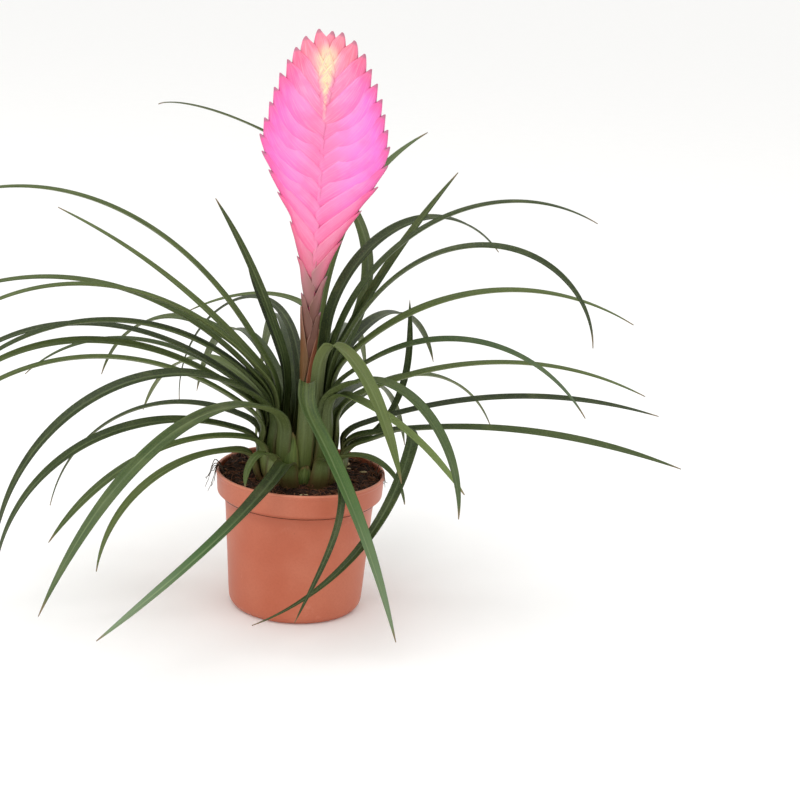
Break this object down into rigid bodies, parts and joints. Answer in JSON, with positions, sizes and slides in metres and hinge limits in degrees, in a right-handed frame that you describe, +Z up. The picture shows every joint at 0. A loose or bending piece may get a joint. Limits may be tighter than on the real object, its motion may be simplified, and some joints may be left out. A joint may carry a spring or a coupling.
{
  "type": "potted bromeliad",
  "caption": "Bromeliad with a flat paddle-shaped pink flower spike above a rosette of narrow arching leaves, in soil in a round plastic nursery pot.",
  "frame": {"origin": "centre of the flat pad in the middle of the pot's underside, where the pot stands", "axes": "+Z straight up; +Y away from the side that the flat flower spike faces, so the spike is widest along X and faces -Y; the stem leans a little towards +X"},
  "size_m": [0.4006, 0.3563, 0.3067],
  "materials": {
    "pot_plastic": "satin",
    "soil_earth": "matte",
    "stem_green": "satin",
    "spike_pink": "satin",
    "bract_mauve": "satin",
    "leaf_green": "satin"
  },
  "bodies": {
    "root": {"leaf_01": "leaf_green", "leaf_02": "leaf_green", "leaf_03": "leaf_green", "leaf_04": "leaf_green", "leaf_05": "leaf_green", "leaf_06": "leaf_green", "leaf_07": "leaf_green", "leaf_08": "leaf_green", "leaf_09": "leaf_green", "leaf_10": "leaf_green", "leaf_11": "leaf_green", "leaf_12": "leaf_green", "leaf_13": "leaf_green", "leaf_14": "leaf_green", "leaf_15": "leaf_green", "leaf_16": "leaf_green", "leaf_17": "leaf_green", "leaf_18": "leaf_green", "leaf_19": "leaf_green", "leaf_20": "leaf_green", "leaf_21": "leaf_green", "leaf_22": "leaf_green", "leaf_23": "leaf_green", "leaf_24": "leaf_green", "leaf_25": "leaf_green", "leaf_26": "leaf_green", "leaf_27": "leaf_green", "leaf_28": "leaf_green", "leaf_29": "leaf_green", "leaf_30": "leaf_green", "leaf_31": "leaf_green", "leaf_32": "leaf_green", "leaf_33": "leaf_green", "leaf_34": "leaf_green", "leaf_35": "leaf_green", "leaf_36": "leaf_green", "leaf_37": "leaf_green", "leaf_38": "leaf_green", "leaf_39": "leaf_green", "leaf_40": "leaf_green", "leaf_41": "leaf_green", "leaf_42": "leaf_green", "leaf_43": "leaf_green", "leaf_44": "leaf_green", "leaf_45": "leaf_green", "leaf_46": "leaf_green", "leaf_47": "leaf_green", "leaf_48": "leaf_green", "leaf_49": "leaf_green", "pot": "pot_plastic", "soil": "soil_earth", "stem": "stem_green", "spike": "spike_pink", "stem_bract_1": "bract_mauve", "stem_bract_2": "bract_mauve", "stem_bract_3": "bract_mauve", "stem_bract_4": "bract_mauve"}
  },
  "joints": []
}
